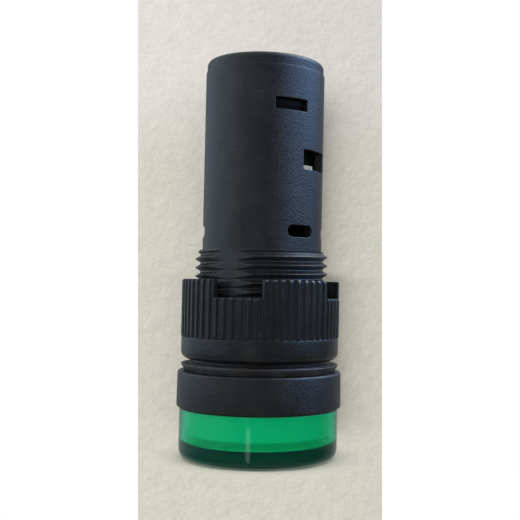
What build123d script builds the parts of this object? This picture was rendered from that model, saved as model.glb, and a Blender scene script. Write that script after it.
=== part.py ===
"""Panel pilot light for a 22 mm panel hole, in millimetres.

The light stands on its lens. The origin is the centre of the lens face, +Z runs along the axis
to the rear end, and the front of the drawing is -Y. Angles about the axis are in degrees,
counted from -Y towards +X. A level is a height above the lens face.
"""
from build123d import *
from math import ceil, cos, pi, radians, sin, tan
import os

# Clearances
slip = 0.1                      # between moulded pieces that slide into each other
running = 0.06                  # radial, between a piece that moves and what carries it
seat_gap = 0.05                 # between a small part and the board or rail that holds it
beyond = 1.0                    # how far a cutting shape reaches past what it cuts

# Lens cap: see-through cup with a skirt that snaps into the bezel
lens_setback = 0.65             # lens inside the bezel's outer face
lens_height = 8.2               # lens face to the bezel's lip
lens_face_thickness = 2.8
lens_wall = 1.1
lens_edge_round = 1.6
lens_skirt_step = 0.45          # skirt inside the lens
snap_height = 0.25              # how far the snap bead stands out of the skirt
snap_half_width = 0.35
snap_depth = 2.0                # lip to the middle of the bead

# Diffuser: translucent cup inside the lens
diffuser_gap = 1.0              # lens face wall to the diffuser's face
diffuser_clearance = 0.1
diffuser_wall = 1.2
diffuser_edge = 0.4

# Bezel: front end of the housing
bezel_overhang = 2.6            # bezel outside the thread
bezel_draft = 0.14
bezel_height = 6.0              # lip to the rear face
bezel_floor = 1.5
bezel_rear_round = 0.3
lip_step = 0.45                 # lip inside the bezel's outer face
lip_height = 0.6
seal_thickness = 0.8

# Threaded neck: the thread's radius sets all the others
thread_radius = 11.0
thread_depth = 0.85
thread_pitch = 1.4
thread_crest_flat = 0.1
thread_half_angle = 30.0
thread_length = 17.85
thread_end_chamfer = 0.75
thread_lead_in = 0.52           # turns the thread so that its crests sit as in the photograph
ridge_sunk = 0.2                # ridge let into the core
ridge_margin = 0.5              # trimming room outside the thread
flat_step = 0.05                # flats outside the barrel
gasket_seat_step = 0.4          # gasket seat inside the thread
gasket_seat_height = 1.25
shoulder_height = 0.6           # plain stretch that centres the light in the panel's hole
shoulder_step = 0.05            # shoulder outside the thread
flat_angles = (-30.0, 150.0)

# Barrel
barrel_step = 1.13              # barrel inside the thread
barrel_wall = 1.27
barrel_length = 29.4
barrel_edge = 0.15
latch_slot_angles = (9.7, 43.1)
latch_slot_height = 1.9
latch_slot_to_end = 5.3         # rear edge of the slot to the barrel's end
window_angles = (40.0, 78.0)
window_height = 3.15
window_to_end = 13.2
vent_angles = (38.3, 92.0, 218.3, 272.0)
vent_width = 5.05
vent_height = 1.9
vent_to_thread = 3.05           # middle of the vent to the end of the thread

# Panel gasket
gasket_lip_setback = 0.46       # lip inside the bezel's rear edge
gasket_lip_flare = 0.65
gasket_lip_thickness = 0.5
gasket_lip_bevel = 0.1
gasket_base_thickness = 0.5
gasket_collar_width = 0.7

# Ring nut
nut_gap = 0.6                   # gasket to nut, as the light stands in the photograph
nut_height = 13.0
nut_wall = 1.94                 # bore to the rib crests
nut_collar_step = 0.08          # collar inside the rib crests
nut_collar_height = 3.7
nut_nose_height = 1.25
nut_nose_depth = 1.45
rib_count = 60
flute_radius = 0.5
flute_offset = 0.15             # flute centre outside the rib crest
rim_bevel = 0.25
notch_count = 4
notch_first = -17.0
notch_width = 35.7
notch_depth = 2.85

# Boards
led_board_thickness = 1.6
led_count = 6
led_circle = 5.8
led_first = 30.0
led_half_gap = 0.2              # half the gap between neighbouring flanges
led_rim = 0.3
led_flange_height = 0.8
led_height = 5.0
led_dome_share = 0.6            # dome's round as a share of the LED's radius
driver_room = 1.1               # board's long edges to the barrel's bore
driver_thickness = 1.6
driver_to_base = 2.0            # rear edge of the board to the terminal base
link_pin_radius = 0.32
link_pin_spread = 1.5
link_pin_reach = 4.5
link_pin_stub = 0.6

# Driver parts
capacitor_radius = 2.5
capacitor_length = 8.5
capacitor_from_board = 7.0      # rear face of the LED board to the capacitor
capacitor_lead_spread = 0.8
crimp_from_end = 1.4
crimp_half_width = 0.4
crimp_depth = 0.35
bridge_size = (6.2, 2.5, 5.4)
bridge_from_board = 18.6
bridge_lift = 0.2
bridge_edge = 0.3
bridge_leg = 0.6
bridge_leg_places = (0.25, 0.75)
bridge_leg_sunk = 0.05
resistor_radius = 1.15
resistor_length = 6.3
resistor_spread = 3.4
resistor_from_board = 9.0
resistor_lift = 0.1
resistor_cap = 1.4
resistor_cap_slope = 0.4
resistor_waist_share = 0.82
lead_radius = 0.3
lead_reach = 1.6
lead_bend_share = 2.2           # bend's radius as a share of the lead's
lead_sunk = 0.5

# Board carrier
carrier_wall = 1.25
carrier_length = 8.3
carrier_below_window = 0.15     # ring's rear face to the window's front edge
arm_angles = (40.6, 55.0)
arm_height = 0.8
arm_tooth_height = 0.6
arm_tooth_reach = 1.05

# Terminal base
base_flange_step = 0.17         # flange inside the barrel's outer face
base_flange_height = 1.9
base_rim_round = 0.8
base_plug_length = 9.3
base_floor = 2.6
base_wall = 0.9
barrier_thickness = 2.0
tooth_reach = 0.45
tooth_sunk = 0.3
tooth_margin = 2.5              # degrees of slot left free on each side of a tooth

# Terminals
plate_thickness = 1.0
plate_width = 6.8
tail_share = 0.77               # tail's width as a share of the room from barrier to screw hole
tail_thickness = 0.8
tail_length = 6.0
tail_inset = 0.2                # tail to the middle barrier
plate_margin = 0.2              # plate to the wall of its well
washer_margin = 0.3
washer_thickness = 0.8
washer_width = 6.0
screw_radius = 1.5
screw_length = 5.5
screw_hole_gap = 0.2
screw_tip_bevel = 0.4
screw_head_room = 0.5           # head to the wall of its well
screw_head_height = 1.9
screw_head_round_share = 0.45   # edge round as a share of the head's height
screw_slot_share = 0.66         # reach of the cross as a share of the head's radius
screw_slot_width = 0.7
screw_slot_depth = 0.9

# Levels along the axis
lip_level = lens_height
bezel_rear_level = lip_level + bezel_height
cup_floor_level = bezel_rear_level - bezel_floor
skirt_end_level = cup_floor_level - seal_thickness
led_face_level = cup_floor_level - led_board_thickness
diffuser_face_level = lens_face_thickness + diffuser_gap
shoulder_level = bezel_rear_level + gasket_seat_height
thread_start_level = shoulder_level + shoulder_height
thread_end_level = thread_start_level + thread_length
barrel_end_level = thread_end_level + barrel_length
nut_front_level = shoulder_level + seat_gap + nut_gap
nut_rear_level = nut_front_level + nut_height
latch_slot_level = barrel_end_level - latch_slot_to_end - latch_slot_height
window_level = barrel_end_level - window_to_end - window_height
vent_level = thread_end_level + vent_to_thread
base_front_level = barrel_end_level - base_plug_length
well_floor_level = base_front_level + base_floor
plate_top_level = well_floor_level + plate_thickness
washer_top_level = plate_top_level + washer_thickness
driver_end_level = base_front_level - driver_to_base
carrier_rear_level = window_level - carrier_below_window

# Radii that follow from the thread's
thread_root_radius = thread_radius - thread_depth
shoulder_radius = thread_radius + shoulder_step
gasket_seat_radius = thread_radius - gasket_seat_step
bezel_radius = thread_radius + bezel_overhang
bezel_rear_radius = bezel_radius - bezel_draft
lip_radius = bezel_radius - lip_step
lens_radius = bezel_radius - lens_setback
lens_skirt_radius = lens_radius - lens_skirt_step
gasket_lip_radius = bezel_rear_radius - gasket_lip_setback
gasket_lip_foot = gasket_lip_radius - gasket_lip_flare
barrel_radius = thread_radius - barrel_step
barrel_bore = barrel_radius - barrel_wall
flat_distance = barrel_radius + flat_step
base_flange_radius = barrel_radius - base_flange_step
nut_bore = shoulder_radius + running
rib_radius = nut_bore + nut_wall
nut_collar_radius = rib_radius - nut_collar_step

# Sizes that follow from the fits
lens_bore = lens_radius - lens_wall
cup_bore = lens_skirt_radius + slip
diffuser_radius = lens_bore - diffuser_clearance
led_board_radius = lens_bore - slip
base_plug_radius = barrel_bore - slip
well_radius = base_plug_radius - base_wall
carrier_radius = barrel_bore - slip
driver_half = driver_thickness / 2
driver_reach = barrel_bore - driver_room
barrier_half = barrier_thickness / 2
terminal_offset = (barrier_half + well_radius) / 2
tail_width = tail_share * (terminal_offset - screw_radius - screw_hole_gap - barrier_half)
screw_head_radius = (well_radius - barrier_half) / 2 - screw_head_room
led_flange = led_circle * sin(pi / led_count) - led_half_gap
led_radius = led_flange - led_rim


def turned(points):
    """A solid turned about Z from a closed outline of (radius, level) points."""
    with BuildSketch(Plane.XZ) as outline:
        with BuildLine():
            Polyline(*points, close=True)
        make_face()
    return revolve(outline.sketch, Axis.Z)


def ring(inner, outer, low, high):
    """A plain ring between two radii and two levels."""
    return turned([(inner, low), (outer, low), (outer, high), (inner, high)])


def disc(radius, low, high, x=0.0, y=0.0):
    """A plain round disc or rod along Z, with its axis at x, y."""
    return Pos(x, y, low) * Cylinder(radius, high - low, align=(Align.CENTER, Align.CENTER, Align.MIN))


def block(low, high):
    """A box between two corners."""
    size = [high[i] - low[i] for i in range(3)]
    return Pos(*low) * Box(*size, align=(Align.MIN, Align.MIN, Align.MIN))


def sector(points, angles):
    """Part of a turned solid between two angles about the axis."""
    with BuildSketch(Plane.XZ) as outline:
        with BuildLine():
            Polyline(*points, close=True)
        make_face()
    part = revolve(outline.sketch, Axis.Z, angles[1] - angles[0])
    return Rot(0, 0, angles[0] - 90) * part


def sector_block(inner, outer, low, high, angles):
    """A piece of a ring between two radii, two levels and two angles."""
    return sector([(inner, low), (outer, low), (outer, high), (inner, high)], angles)


def edges_at(shape, level, radius):
    """The circular edges of a solid that lie at a level and a radius."""
    near = shape.edges().filter_by(GeomType.CIRCLE)
    return near.filter_by(lambda e: abs(e.arc_center.Z - level) < 1e-4 and abs(e.radius - radius) < 1e-4)


def lens_cap():
    """Cup with a thick face, a rounded front edge and a skirt with a snap bead."""
    bead = lip_level + snap_depth
    cup = turned([
        (0, 0), (lens_radius, 0), (lens_radius, lip_level), (lens_skirt_radius, lip_level),
        (lens_skirt_radius, bead - snap_half_width), (lens_skirt_radius + snap_height, bead),
        (lens_skirt_radius, bead + snap_half_width), (lens_skirt_radius, skirt_end_level),
        (lens_bore, skirt_end_level), (lens_bore, lens_face_thickness), (0, lens_face_thickness),
    ])
    return fillet(edges_at(cup, 0, lens_radius), lens_edge_round)


def diffuser():
    """Translucent cup that stands on the LED board."""
    bore = diffuser_radius - diffuser_wall
    cup = turned([
        (0, diffuser_face_level), (diffuser_radius, diffuser_face_level),
        (diffuser_radius, led_face_level), (bore, led_face_level),
        (bore, diffuser_face_level + diffuser_wall), (0, diffuser_face_level + diffuser_wall),
    ])
    return chamfer(edges_at(cup, diffuser_face_level, diffuser_radius), diffuser_edge)


def thread_ridge():
    """Helical ridge of a right-hand thread, trimmed to the neck's length and its end chamfer."""
    depth = thread_radius - thread_root_radius
    slope = tan(radians(thread_half_angle))
    tip_half = thread_crest_flat / 2
    foot_half = tip_half + (depth + ridge_sunk) * slope
    start = thread_start_level - foot_half - thread_lead_in
    turns = ceil((thread_end_level + thread_pitch - start) / thread_pitch)
    path = Helix(thread_pitch, turns * thread_pitch, thread_root_radius, center=(0, 0, start))
    with BuildSketch(Plane(origin=path @ 0, x_dir=(1, 0, 0), z_dir=path % 0)) as outline:
        with BuildLine():
            Polyline((-ridge_sunk, -foot_half), (-ridge_sunk, foot_half), (depth, tip_half),
                     (depth, -tip_half), close=True)
        make_face()
    ridge = sweep(outline.sketch, path=path, is_frenet=True)
    outside = thread_radius + ridge_margin
    room = disc(outside, thread_start_level, thread_end_level)
    room = chamfer(edges_at(room, thread_end_level, outside), thread_end_chamfer + ridge_margin)
    return ridge & room


def threaded_neck():
    """Threaded tube with two flats."""
    neck = disc(thread_root_radius, thread_start_level, thread_end_level) + thread_ridge()
    neck -= disc(barrel_bore, thread_start_level - beyond, thread_end_level + beyond)
    outside = thread_radius + beyond
    off = block((flat_distance, -outside, thread_start_level - beyond),
                (outside, outside, thread_end_level + beyond))
    for angle in flat_angles:
        neck -= Rot(0, 0, angle - 90) * off
    return neck


def barrel():
    """Tube with two latch slots, two latch windows and four oblong vents."""
    tube = ring(barrel_bore, barrel_radius, thread_end_level, barrel_end_level)
    tube = fillet(edges_at(tube, barrel_end_level, barrel_radius), barrel_edge)
    inside = barrel_bore - beyond
    outside = barrel_radius + beyond
    for turn in (0, 180):
        tube -= Rot(0, 0, turn) * sector_block(inside, outside, latch_slot_level,
                                               latch_slot_level + latch_slot_height, latch_slot_angles)
        tube -= Rot(0, 0, turn) * sector_block(inside, outside, window_level,
                                               window_level + window_height, window_angles)
    mouth = Plane(origin=(0, 0, vent_level), x_dir=(1, 0, 0), z_dir=(0, -1, 0))
    vent = extrude(mouth * SlotOverall(vent_width, vent_height), outside)
    for angle in vent_angles:
        tube -= Rot(0, 0, angle) * vent
    return tube


def housing():
    """One moulding: bezel cup, threaded neck and barrel."""
    bead = lip_level + snap_depth
    groove = cup_bore + snap_height
    bezel = turned([
        (cup_bore, lip_level), (lip_radius, lip_level), (lip_radius, lip_level + lip_height),
        (bezel_radius, lip_level + lip_height), (bezel_rear_radius, bezel_rear_level),
        (gasket_seat_radius, bezel_rear_level), (gasket_seat_radius, shoulder_level),
        (shoulder_radius, shoulder_level), (shoulder_radius, thread_start_level),
        (barrel_bore, thread_start_level), (barrel_bore, cup_floor_level),
        (cup_bore, cup_floor_level), (cup_bore, bead + snap_half_width), (groove, bead),
        (cup_bore, bead - snap_half_width),
    ])
    bezel = fillet(edges_at(bezel, bezel_rear_level, bezel_rear_radius), bezel_rear_round)
    return bezel + threaded_neck() + barrel()


def lens_seal():
    """Flat ring between the lens skirt and the floor of the bezel cup."""
    return ring(lens_bore, lens_skirt_radius, skirt_end_level, cup_floor_level)


def gasket():
    """Rubber ring in its seat, with a collar at the neck and a lip that flares to the panel."""
    bore = gasket_seat_radius + seat_gap
    base = bezel_rear_level + gasket_base_thickness
    lip_bore = gasket_lip_radius - gasket_lip_thickness
    collar = bore + gasket_collar_width
    return turned([
        (bore, bezel_rear_level), (gasket_lip_foot, bezel_rear_level),
        (gasket_lip_radius, shoulder_level - gasket_lip_bevel),
        (gasket_lip_radius - gasket_lip_bevel, shoulder_level),
        (lip_bore, shoulder_level), (gasket_lip_foot - gasket_lip_thickness, base),
        (collar, base), (collar, shoulder_level), (bore, shoulder_level),
    ])


def ring_nut():
    """Fluted ring nut with a smooth collar in front and four notches in its rear rim."""
    collar_end = nut_front_level + nut_collar_height
    nose = nut_front_level + nut_nose_height
    nose_radius = nut_collar_radius - nut_nose_depth
    bulge = (nut_collar_radius - nut_nose_depth * (1 - cos(radians(45))),
             nut_front_level + nut_nose_height * (1 - sin(radians(45))))
    with BuildSketch(Plane.XZ) as outline:
        with BuildLine():
            Line((nut_bore, nut_front_level), (nose_radius, nut_front_level))
            ThreePointArc((nose_radius, nut_front_level), bulge, (nut_collar_radius, nose))
            Polyline((nut_collar_radius, nose), (nut_collar_radius, collar_end),
                     (nut_bore, collar_end), (nut_bore, nut_front_level))
        make_face()
    collar = revolve(outline.sketch, Axis.Z)
    with BuildSketch(Plane.XY.offset(collar_end)) as fluted:
        Circle(rib_radius)
        with PolarLocations(rib_radius + flute_offset, rib_count):
            Circle(flute_radius, mode=Mode.SUBTRACT)
        Circle(nut_bore, mode=Mode.SUBTRACT)
    ribs = extrude(fluted.sketch, nut_rear_level - collar_end)
    ribs &= turned([
        (0, collar_end), (rib_radius + beyond, collar_end),
        (rib_radius + beyond, nut_rear_level - rim_bevel - beyond),
        (rib_radius - rim_bevel, nut_rear_level), (0, nut_rear_level),
    ])
    nut = collar + ribs
    for i in range(notch_count):
        middle = notch_first + i * 360 / notch_count
        nut -= sector_block(nut_bore - beyond, rib_radius + beyond, nut_rear_level - notch_depth,
                            nut_rear_level + beyond, (middle - notch_width / 2, middle + notch_width / 2))
    return nut


def led_board():
    """Round board on the floor of the bezel cup, with holes for the link pins."""
    board = disc(led_board_radius, led_face_level, cup_floor_level)
    for x in (-link_pin_spread, link_pin_spread):
        board -= disc(link_pin_radius + seat_gap, led_face_level - beyond, cup_floor_level + beyond,
                      x, driver_half + link_pin_radius)
    return board


def led(index):
    """Straw-hat LED on the front of the round board, dome towards the diffuser."""
    tip = led_face_level - led_height
    body = turned([
        (0, tip), (led_radius, tip), (led_radius, led_face_level - led_flange_height),
        (led_flange, led_face_level - led_flange_height), (led_flange, led_face_level),
        (0, led_face_level),
    ])
    body = fillet(edges_at(body, tip, led_radius), led_radius * led_dome_share)
    angle = radians(led_first + index * 360 / led_count)
    return Pos(led_circle * cos(angle), led_circle * sin(angle), 0) * body


def link_pin(side):
    """Straight pin that joins the two boards, flat against the driver board."""
    return disc(link_pin_radius, led_face_level - link_pin_stub, cup_floor_level + link_pin_reach,
                side * link_pin_spread, driver_half + link_pin_radius)


def driver_board():
    """Board along the barrel, from the LED board to just short of the terminal base."""
    return block((-driver_reach, -driver_half, cup_floor_level),
                 (driver_reach, driver_half, driver_end_level))


def bent_lead(x, y, low, high, board_y):
    """Wire that leaves a part along Z and turns square to the board."""
    bend = lead_bend_share * lead_radius
    path = FilletPolyline((x, y, low), (x, y, high), (x, board_y, high), radius=bend)
    section = Plane(origin=path @ 0, z_dir=path % 0) * Circle(lead_radius)
    return sweep(section, path=path)


def smoothing_capacitor():
    """Can lying on the driver board, with a crimp near its leads."""
    low = cup_floor_level + capacitor_from_board
    high = low + capacitor_length
    y = driver_half + capacitor_radius
    crimp = low + crimp_from_end
    can = turned([
        (0, low), (capacitor_radius, low), (capacitor_radius, crimp - crimp_half_width),
        (capacitor_radius - crimp_depth, crimp), (capacitor_radius, crimp + crimp_half_width),
        (capacitor_radius, high), (0, high),
    ])
    can = Pos(0, y, 0) * can
    for x in (-capacitor_lead_spread, capacitor_lead_spread):
        can += bent_lead(x, y, low + lead_sunk, low - lead_reach, driver_half)
    return can


def bridge_rectifier():
    """Flat package on four legs."""
    width, height, length = bridge_size
    low = cup_floor_level + bridge_from_board
    face = driver_half + bridge_lift
    body = block((-width / 2, face, low), (width / 2, face + height, low + length))
    body = chamfer(body.edges().filter_by(Axis.Z), bridge_edge)
    for x in (-1, 1):
        for z in bridge_leg_places:
            middle = low + z * length
            inner = x * (width / 2 - bridge_leg)
            outer = x * (width / 2 + bridge_leg)
            body += block((min(inner, outer), driver_half, middle - bridge_leg / 2),
                          (max(inner, outer), face + bridge_leg_sunk, middle + bridge_leg / 2))
    return body


def resistor(side):
    """Axial resistor on the other face of the driver board."""
    low = cup_floor_level + resistor_from_board
    high = low + resistor_length
    y = -driver_half - resistor_radius - resistor_lift
    x = side * resistor_spread
    waist = resistor_radius * resistor_waist_share
    slope = resistor_cap + resistor_cap_slope
    body = turned([
        (0, low), (resistor_radius, low), (resistor_radius, low + resistor_cap), (waist, low + slope),
        (waist, high - slope), (resistor_radius, high - resistor_cap), (resistor_radius, high), (0, high),
    ])
    body = Pos(x, y, 0) * body
    body += bent_lead(x, y, low + lead_sunk, low - lead_reach, -driver_half)
    body += bent_lead(x, y, high - lead_sunk, high + lead_reach, -driver_half)
    return body


def board_carrier():
    """Ring with rails for the driver board and two arms that snap into the barrel's windows."""
    low = carrier_rear_level - carrier_length
    top = carrier_rear_level + arm_height
    bore = carrier_radius - carrier_wall
    carrier = ring(bore, carrier_radius, low, top)
    slot = driver_half + seat_gap
    reach = driver_reach + seat_gap
    carrier -= block((-reach, -slot, low - beyond), (reach, slot, top + beyond))
    for turn in (0, 180):
        beside_arm = (arm_angles[1] - 180, arm_angles[0])
        carrier -= Rot(0, 0, turn) * sector_block(bore - beyond, carrier_radius + beyond,
                                                  carrier_rear_level, top + beyond, beside_arm)
    for turn in (0, 180):
        tooth = sector_block(carrier_radius - carrier_wall / 2, carrier_radius + arm_tooth_reach,
                             top - arm_tooth_height, top, arm_angles)
        carrier += Rot(0, 0, turn) * tooth
    return carrier


def terminal_base():
    """Rear plug with a rounded flange, two wells, a barrier between them and two snap teeth."""
    rear = barrel_end_level + base_flange_height
    base = turned([
        (0, base_front_level), (base_plug_radius, base_front_level), (base_plug_radius, barrel_end_level),
        (base_flange_radius, barrel_end_level), (base_flange_radius, rear), (0, rear),
    ])
    base = fillet(edges_at(base, rear, base_flange_radius), base_rim_round)
    wells = disc(well_radius, well_floor_level, rear + beyond)
    wells -= block((-barrier_half, -well_radius - beyond, well_floor_level - beyond),
                   (barrier_half, well_radius + beyond, rear + 2 * beyond))
    base -= wells
    for side in (-1, 1):
        base -= disc(screw_radius + screw_hole_gap, base_front_level - beyond, well_floor_level + beyond,
                     side * terminal_offset)
        base -= tail_block(side, base_front_level - beyond, well_floor_level + beyond, seat_gap)
        tooth = sector(
            [(base_plug_radius - tooth_sunk, latch_slot_level + slip),
             (base_plug_radius + tooth_reach, latch_slot_level + latch_slot_height / 2),
             (base_plug_radius + tooth_reach, latch_slot_level + latch_slot_height - slip),
             (base_plug_radius - tooth_sunk, latch_slot_level + latch_slot_height - slip)],
            (latch_slot_angles[0] + tooth_margin, latch_slot_angles[1] - tooth_margin))
        base += Rot(0, 0, 90 - 90 * side) * tooth
    return base


def tail_block(side, low, high, margin=0.0):
    """Space of a terminal's solder tail between two levels, grown by a margin."""
    inner = barrier_half + tail_inset - margin
    outer = inner + tail_width + 2 * margin
    y = driver_half + seat_gap
    return block((min(side * inner, side * outer), y - margin, low),
                 (max(side * inner, side * outer), y + tail_thickness + margin, high))


def well_plate(side, low, high, width, margin):
    """Flat plate that fills one well's plan, cut to a width across the screw."""
    plate = disc(well_radius - margin, low, high)
    inner = side * (barrier_half + margin)
    outer = side * well_radius
    return plate & block((min(inner, outer), -width / 2, low), (max(inner, outer), width / 2, high))


def terminal_plate(side):
    """Brass plate on the floor of a well, with the screw's hole and a tail to the board."""
    plate = well_plate(side, well_floor_level, plate_top_level, plate_width, plate_margin)
    plate += tail_block(side, well_floor_level - tail_length - base_floor,
                        well_floor_level + plate_thickness / 2)
    return plate - disc(screw_radius + running, well_floor_level - beyond, plate_top_level + beyond,
                        side * terminal_offset)


def clamp_washer(side):
    """Square wire clamp under the screw's head."""
    washer = well_plate(side, plate_top_level, washer_top_level, washer_width, washer_margin)
    return washer - disc(screw_radius + running, plate_top_level - beyond, washer_top_level + beyond,
                         side * terminal_offset)


def terminal_screw(side):
    """Pan-head screw with a cross recess, screwed down on its washer."""
    top = washer_top_level + screw_head_height
    tip = washer_top_level - screw_length
    screw = turned([
        (0, tip), (screw_radius - screw_tip_bevel, tip), (screw_radius, tip + screw_tip_bevel),
        (screw_radius, washer_top_level),
        (screw_head_radius, washer_top_level), (screw_head_radius, top), (0, top),
    ])
    screw = fillet(edges_at(screw, top, screw_head_radius), screw_head_height * screw_head_round_share)
    arm = screw_head_radius * screw_slot_share
    half = screw_slot_width / 2
    for size_x, size_y in ((arm, half), (half, arm)):
        screw -= block((-size_x, -size_y, top - screw_slot_depth), (size_x, size_y, top + beyond))
    return Pos(side * terminal_offset, 0, 0) * screw


pieces = {
    "housing": housing(),
    "lens_cap": lens_cap(),
    "diffuser": diffuser(),
    "lens_seal": lens_seal(),
    "gasket": gasket(),
    "ring_nut": ring_nut(),
    "led_board": led_board(),
    "driver_board": driver_board(),
    "smoothing_capacitor": smoothing_capacitor(),
    "bridge_rectifier": bridge_rectifier(),
    "board_carrier": board_carrier(),
    "terminal_base": terminal_base(),
}
for i in range(led_count):
    pieces[f"led_{i + 1}"] = led(i)
for number, side in ((1, -1), (2, 1)):
    pieces[f"link_pin_{number}"] = link_pin(side)
    pieces[f"resistor_{number}"] = resistor(side)
    pieces[f"terminal_plate_{number}"] = terminal_plate(side)
    pieces[f"clamp_washer_{number}"] = clamp_washer(side)
    pieces[f"terminal_screw_{number}"] = terminal_screw(side)

os.makedirs("parts", exist_ok=True)
for name, solid in pieces.items():
    export_step(solid, f"parts/{name}.step")
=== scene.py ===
"""Dressed panel pilot light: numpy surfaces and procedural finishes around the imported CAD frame.

Shapes are worked out in millimetres in the CAD's own frame: the lens face is at level 0, +Z runs
to the rear end, and phi counts degrees about Z from -Y towards +X.
"""
from math import radians

import bmesh
import bpy
import numpy as np
from mathutils import Matrix


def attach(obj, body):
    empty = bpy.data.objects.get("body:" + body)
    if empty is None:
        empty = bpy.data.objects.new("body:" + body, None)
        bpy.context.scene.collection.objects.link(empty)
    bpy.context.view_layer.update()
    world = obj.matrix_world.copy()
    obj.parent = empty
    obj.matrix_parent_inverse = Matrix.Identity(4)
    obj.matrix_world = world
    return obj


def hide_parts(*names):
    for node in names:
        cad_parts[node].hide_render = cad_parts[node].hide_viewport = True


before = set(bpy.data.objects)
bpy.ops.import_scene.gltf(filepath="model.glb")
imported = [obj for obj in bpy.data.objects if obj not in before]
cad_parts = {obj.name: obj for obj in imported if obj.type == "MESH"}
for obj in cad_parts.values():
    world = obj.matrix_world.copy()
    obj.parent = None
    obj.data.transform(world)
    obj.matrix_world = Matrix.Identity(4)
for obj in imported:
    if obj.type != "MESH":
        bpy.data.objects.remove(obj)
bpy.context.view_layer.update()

MM = 0.001
DEG = np.pi / 180

# Lens cap and diffuser: radii and levels along the axis, as in the part's source
LENS_R, LENS_BORE, LENS_FACE, LENS_END = 13.05, 11.85, 2.8, 8.2
SKIRT_R, SKIRT_END = 12.5, 11.9
DIFFUSER_R, DIFFUSER_WALL, DIFFUSER_FACE, BOARD_FACE = 11.75, 1.2, 3.8, 11.1
GAP = 0.02                      # between pieces that meet face to face

# Bezel, gasket and shoulder
BEZEL_R, BEZEL_REAR_R, BEZEL_REAR = 13.6, 13.46, 14.2
CUP_BORE, CUP_FLOOR = 12.6, 12.7
LIP_R, LIP_END = 13.15, 8.45
SEAT_R, SHOULDER_R, SHOULDER = 10.6, 11.05, 15.45
GASKET_BORE, GASKET_COLLAR_R, GASKET_FOOT_R, GASKET_LIP_R = 10.66, 11.35, 12.35, 12.97
GASKET_FRONT, GASKET_DISH, GASKET_LIP, GASKET_COLLAR = 14.22, 15.1, 15.42, 15.44

# Threaded neck
THREAD_START, THREAD_END, THREAD_CHAMFER = 16.05, 33.9, 0.72
CREST_R, ROOT_R, PITCH, FLANK = 11.0, 10.15, 1.4, 30.0
CREST_LEVEL = 32.72             # a crest's level at phi 0
FLAT, FLAT_LEAN, FLAT_PHI = 10.03, 0.03, (-30.0, 150.0)
LAP = 0.2                       # how far neighbouring lengths of the housing run into each other

# Barrel
BARREL_R, BARREL_BORE, BARREL_END, BARREL_EDGE = 9.87, 8.6, 63.3, 0.12
OPENING_EDGE = 0.09
LATCH_SLOT, LATCH_WINDOW = (57.05, 2.877, 0.95, 0.16), (48.525, 3.273, 1.575, 0.16)
VENT = (36.95, 2.553, 0.95, 0.95)
OPENINGS = (                    # phi, level, half width along the arc, half height, corner radius
    [(26.4 + turn, *LATCH_SLOT) for turn in (0, 180)]
    + [(59.0 + turn, *LATCH_WINDOW) for turn in (0, 180)]
    + [(phi, *VENT) for phi in (38.3, 92.0, 218.3, 272.0)]
)

# Ring nut
NUT_FRONT, NUT_REAR, NUT_BORE, BORE_EDGE = 16.1, 29.1, 11.11, 0.15
NOSE_WIDE, NOSE_LONG = 1.45, 1.25
COLLAR_R, COLLAR_END, LEDGE_WIDE, LEDGE_LONG = 12.97, 19.8, 0.1, 0.12
RIB_R, RIB_COUNT, RIM_BEVEL = 13.05, 60, 0.25
FLUTE_R, FLUTE_CENTRE, FLUTE_RUN_OUT = 0.5, 13.2, 0.3
NOTCH_PHI, NOTCH_WIDTH, NOTCH_DEPTH, NOTCH_COUNT = -17.0, 35.7, 2.85, 4

# Camera, fitted to the outline of the light in the photograph
PICTURE, SENSOR, FOCAL_LENGTH, SHIFT = 520, 36.0, 61.816, -0.11538
CAMERA_RIGHT = (0.99766198, -0.06552784, 0.01940822)
CAMERA_UP = (-0.02134382, -0.02896884, 0.99935241)
CAMERA_BACK = (-0.06492317, -0.99743015, -0.03029973)
CAMERA_SPOT = (0.0, -0.14925, 0.02816)

# Colours of the stage
WHITE = (1.0, 1.0, 1.0, 1.0)
# the second backdrop colour is painted towards the top, where more light falls
BACKDROP_LOW, BACKDROP_TOP_LIT = (0.625, 0.610, 0.530), (0.622, 0.606, 0.570)
FLOOR_DARK, FLOOR_PALE = (0.50, 0.468, 0.39), (0.545, 0.51, 0.43)


def quad_faces(rows, columns):
    """Corner numbers of the cells of a grid of points, as an array of four per cell."""
    corner = np.arange((rows - 1) * columns).reshape(rows - 1, columns)[:, :-1].ravel()
    return np.stack([corner, corner + 1, corner + columns + 1, corner + columns], axis=1)


def make_piece(name, patches, body, nodes, material, sharp=38.0):
    """One closed mesh from patches of (points, faces) in millimetres.

    Points that meet are merged, so that seams and poles close, and faces are turned outwards.
    An edge is sharp where its two faces meet at more than `sharp` degrees.
    """
    points, faces, first = [], [], 0
    for grid, cells in patches:
        flat = np.asarray(grid, float).reshape(-1, 3)
        points.append(flat)
        faces.append(cells + first)
        first += len(flat)
    points = np.concatenate(points) * MM
    faces = np.concatenate(faces)
    mesh = bpy.data.meshes.new(name)
    mesh.vertices.add(len(points))
    mesh.vertices.foreach_set("co", points.astype(np.float32).ravel())
    mesh.loops.add(faces.size)
    mesh.loops.foreach_set("vertex_index", faces.astype(np.int32).ravel())
    mesh.polygons.add(len(faces))
    mesh.polygons.foreach_set("loop_start", np.arange(0, faces.size, 4, dtype=np.int32))
    mesh.update(calc_edges=True)
    mesh.validate()
    work = bmesh.new()
    work.from_mesh(mesh)
    bmesh.ops.remove_doubles(work, verts=work.verts, dist=2e-6)
    bmesh.ops.dissolve_degenerate(work, edges=work.edges, dist=1e-7)
    bmesh.ops.recalc_face_normals(work, faces=work.faces)
    work.to_mesh(mesh)
    work.free()
    mesh.polygons.foreach_set("use_smooth", np.ones(len(mesh.polygons), bool))
    mesh.set_sharp_from_angle(angle=radians(sharp))
    mesh.materials.append(material)
    made = bpy.data.objects.new(name, mesh)
    bpy.context.scene.collection.objects.link(made)
    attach(made, body)
    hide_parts(*nodes)


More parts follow.
